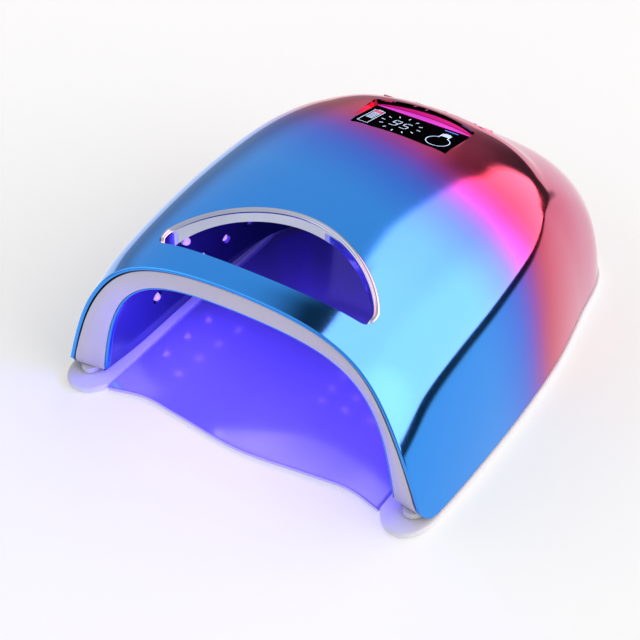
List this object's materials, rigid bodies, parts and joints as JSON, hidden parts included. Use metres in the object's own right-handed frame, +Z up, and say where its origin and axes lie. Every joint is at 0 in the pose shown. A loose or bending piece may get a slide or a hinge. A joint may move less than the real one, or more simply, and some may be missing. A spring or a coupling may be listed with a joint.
{
  "type": "uv led nail lamp",
  "caption": "Arch-shaped nail curing lamp: plated shell, finger opening, display, push buttons, LED-lined chamber and a lift-off mirror base.",
  "frame": {"origin": "middle of the base's footprint, on the surface it stands on", "axes": "+Z up, +X to the right seen from the front, the open front faces -Y and the display end is +Y"},
  "size_m": [0.215, 0.257, 0.102],
  "materials": {
    "plating": "mirror-bright tinted vacuum plating, blue at the front fading through violet to magenta pink at the rear",
    "bezel": "smooth pale grey ABS, softly glossy",
    "chrome": "bright plated plastic trim",
    "reflector": "vacuum metallised reflector",
    "white_abs": "white ABS with a fine satin texture",
    "floor_mirror": "mirror film on plastic",
    "rubber": "matt rubber",
    "black_gloss": "polished black acrylic",
    "black_abs": "matt black moulded plastic",
    "led_board": "white solder mask with clear lensed LEDs",
    "circuit_board": "green solder mask",
    "button": "magenta plated caps",
    "cell_wrap": "blue shrink sleeve",
    "steel": "nickel-plated steel"
  },
  "bodies": {
    "base": {"base_plate": "white_abs", "mirror_floor": "floor_mirror", "rubber_foot_1": "rubber", "rubber_foot_2": "rubber", "rubber_foot_3": "rubber", "rubber_foot_4": "rubber", "base_magnet_1": "steel", "base_magnet_2": "steel", "base_magnet_3": "steel", "base_magnet_4": "steel"},
    "lamp": {"outer_shell": "plating", "front_bezel": "bezel", "handle_frame": "chrome", "reflector_liner": "reflector", "chassis_frame": "white_abs", "body_keeper_1": "steel", "body_keeper_2": "steel", "body_keeper_3": "steel", "body_keeper_4": "steel", "chassis_screw_1": "steel", "chassis_screw_2": "steel", "chassis_screw_3": "steel", "chassis_screw_4": "steel", "led_board_right": "led_board", "led_board_left": "led_board", "led_board_roof": "led_board", "led_board_rear": "led_board", "hand_sensor": "black_abs", "display_window": "black_gloss", "display_board": "circuit_board", "button_board": "circuit_board", "control_board": "circuit_board", "battery_tray": "black_abs", "battery_cell_1": "cell_wrap", "battery_cell_2": "cell_wrap", "battery_cell_3": "cell_wrap", "battery_cell_4": "cell_wrap", "dc_jack": "black_abs"},
    "button_1": {"push_button_1": "button"},
    "button_2": {"push_button_2": "button"},
    "button_3": {"push_button_3": "button"},
    "button_4": {"push_button_4": "button"}
  },
  "joints": [
    {"name": "lamp_lift", "type": "slide", "parent": "base", "child": "lamp", "axis": [0, 0, 1], "range_m": [0, 0.06]},
    {"name": "button_1_press", "type": "slide", "parent": "lamp", "child": "button_1", "axis": [0, -0.6, -0.8], "range_m": [0, 0.0008], "stiffness_N_per_m": 800},
    {"name": "button_2_press", "type": "slide", "parent": "lamp", "child": "button_2", "axis": [0, -0.6, -0.8], "range_m": [0, 0.0008], "stiffness_N_per_m": 800},
    {"name": "button_3_press", "type": "slide", "parent": "lamp", "child": "button_3", "axis": [0, -0.6, -0.8], "range_m": [0, 0.0008], "stiffness_N_per_m": 800},
    {"name": "button_4_press", "type": "slide", "parent": "lamp", "child": "button_4", "axis": [0, -0.6, -0.8], "range_m": [0, 0.0008], "stiffness_N_per_m": 800}
  ]
}
